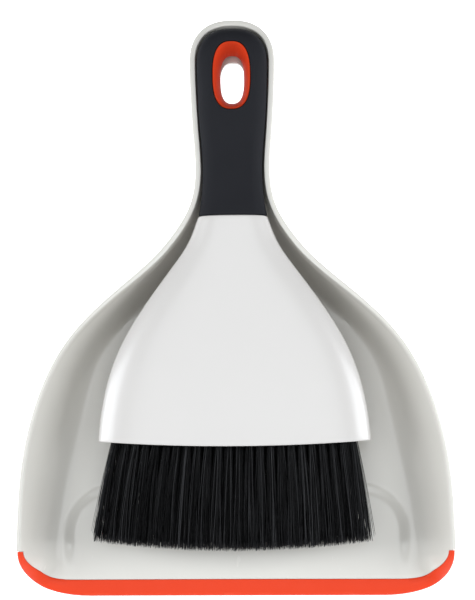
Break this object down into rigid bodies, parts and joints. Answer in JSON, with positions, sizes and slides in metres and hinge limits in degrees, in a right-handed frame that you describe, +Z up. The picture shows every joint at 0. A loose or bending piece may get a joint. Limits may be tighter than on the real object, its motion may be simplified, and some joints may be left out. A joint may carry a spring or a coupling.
{
  "type": "dust pan and brush set",
  "caption": "Wide plastic dust pan with a soft sweeping lip and a hand brush that stows in its channel handle.",
  "frame": {"origin": "on the floor plane, under the middle of the set's length and width", "axes": "+Y from the sweeping edge to the end of the handle, +X to the right with the handle away, +Z up"},
  "size_m": [0.2598, 0.3399, 0.075],
  "materials": {
    "pan_white": "satin moulded polypropylene",
    "lip_orange": "soft matt elastomer",
    "head_white": "glossy moulded plastic",
    "grip_black": "matt soft-touch elastomer",
    "ring_orange": "smooth moulded plastic",
    "block_black": "plain moulded plastic",
    "bristle_black": "fine black filament, slightly shiny"
  },
  "bodies": {
    "pan": {"pan_shell": "pan_white", "pan_lip": "lip_orange"},
    "brush": {"brush_head": "head_white", "brush_grip": "grip_black", "hang_ring": "ring_orange", "bristle_block": "block_black", "tuft_front_01": "bristle_black", "tuft_front_02": "bristle_black", "tuft_front_03": "bristle_black", "tuft_front_04": "bristle_black", "tuft_front_05": "bristle_black", "tuft_front_06": "bristle_black", "tuft_front_07": "bristle_black", "tuft_front_08": "bristle_black", "tuft_front_09": "bristle_black", "tuft_front_10": "bristle_black", "tuft_front_11": "bristle_black", "tuft_front_12": "bristle_black", "tuft_front_13": "bristle_black", "tuft_front_14": "bristle_black", "tuft_front_15": "bristle_black", "tuft_front_16": "bristle_black", "tuft_front_17": "bristle_black", "tuft_front_18": "bristle_black", "tuft_front_19": "bristle_black", "tuft_front_20": "bristle_black", "tuft_front_21": "bristle_black", "tuft_front_22": "bristle_black", "tuft_front_23": "bristle_black", "tuft_front_24": "bristle_black", "tuft_back_01": "bristle_black", "tuft_back_02": "bristle_black", "tuft_back_03": "bristle_black", "tuft_back_04": "bristle_black", "tuft_back_05": "bristle_black", "tuft_back_06": "bristle_black", "tuft_back_07": "bristle_black", "tuft_back_08": "bristle_black", "tuft_back_09": "bristle_black", "tuft_back_10": "bristle_black", "tuft_back_11": "bristle_black", "tuft_back_12": "bristle_black", "tuft_back_13": "bristle_black", "tuft_back_14": "bristle_black", "tuft_back_15": "bristle_black", "tuft_back_16": "bristle_black", "tuft_back_17": "bristle_black", "tuft_back_18": "bristle_black", "tuft_back_19": "bristle_black", "tuft_back_20": "bristle_black", "tuft_back_21": "bristle_black", "tuft_back_22": "bristle_black", "tuft_back_23": "bristle_black"}
  },
  "joints": [
    {"name": "brush_lift", "type": "slide", "parent": "pan", "child": "brush", "axis": [0, -0.1219, 0.9925], "range_m": [0, 0.15]}
  ]
}
